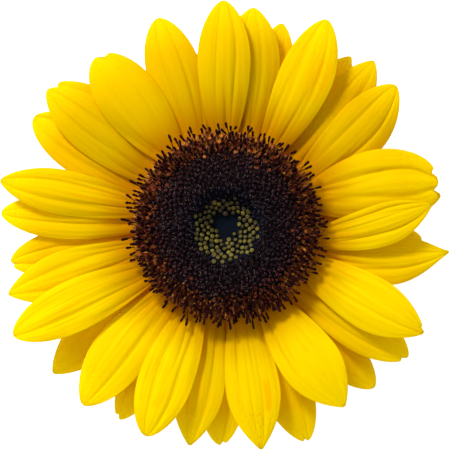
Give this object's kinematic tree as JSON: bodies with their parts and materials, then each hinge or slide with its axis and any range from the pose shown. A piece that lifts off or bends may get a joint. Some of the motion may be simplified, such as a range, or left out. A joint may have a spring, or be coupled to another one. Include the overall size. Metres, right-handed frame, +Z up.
{
  "type": "cut sunflower head",
  "caption": "Cut sunflower head lying face up: overlapping yellow petals round a dark disc of florets with a sunken green middle, green bracts and a short stem stub behind.",
  "frame": {"origin": "on the surface that the head lies on, under the middle of its outline", "axes": "+Z up, the way the flower faces; +Y towards the top of the flower as it is usually looked at"},
  "size_m": [0.1496, 0.1494, 0.0424],
  "materials": {
    "stem": "matte",
    "bract": "matte",
    "petal": "satin",
    "open_floret": "matte",
    "dark_bud": "matte",
    "green_bud": "matte"
  },
  "bodies": {
    "root": {"stem_and_receptacle": "stem", "centre_buds": "green_bud", "dark_buds": "dark_bud", "open_florets": "open_floret", "petal_01": "petal", "petal_02": "petal", "petal_03": "petal", "petal_04": "petal", "petal_05": "petal", "petal_06": "petal", "petal_07": "petal", "petal_08": "petal", "petal_09": "petal", "petal_10": "petal", "petal_11": "petal", "petal_12": "petal", "petal_13": "petal", "petal_14": "petal", "petal_15": "petal", "petal_16": "petal", "petal_17": "petal", "petal_18": "petal", "petal_19": "petal", "petal_20": "petal", "petal_21": "petal", "petal_22": "petal", "petal_23": "petal", "petal_24": "petal", "petal_25": "petal", "petal_26": "petal", "petal_27": "petal", "petal_28": "petal", "petal_29": "petal", "petal_30": "petal", "petal_31": "petal", "petal_32": "petal", "petal_33": "petal", "petal_34": "petal", "petal_35": "petal", "petal_36": "petal", "bract_01": "bract", "bract_02": "bract", "bract_03": "bract", "bract_04": "bract", "bract_05": "bract", "bract_06": "bract", "bract_07": "bract", "bract_08": "bract", "bract_09": "bract", "bract_10": "bract", "bract_11": "bract", "bract_12": "bract", "bract_13": "bract", "bract_14": "bract", "bract_15": "bract", "bract_16": "bract", "bract_17": "bract", "bract_18": "bract", "bract_19": "bract", "bract_20": "bract"}
  },
  "joints": []
}
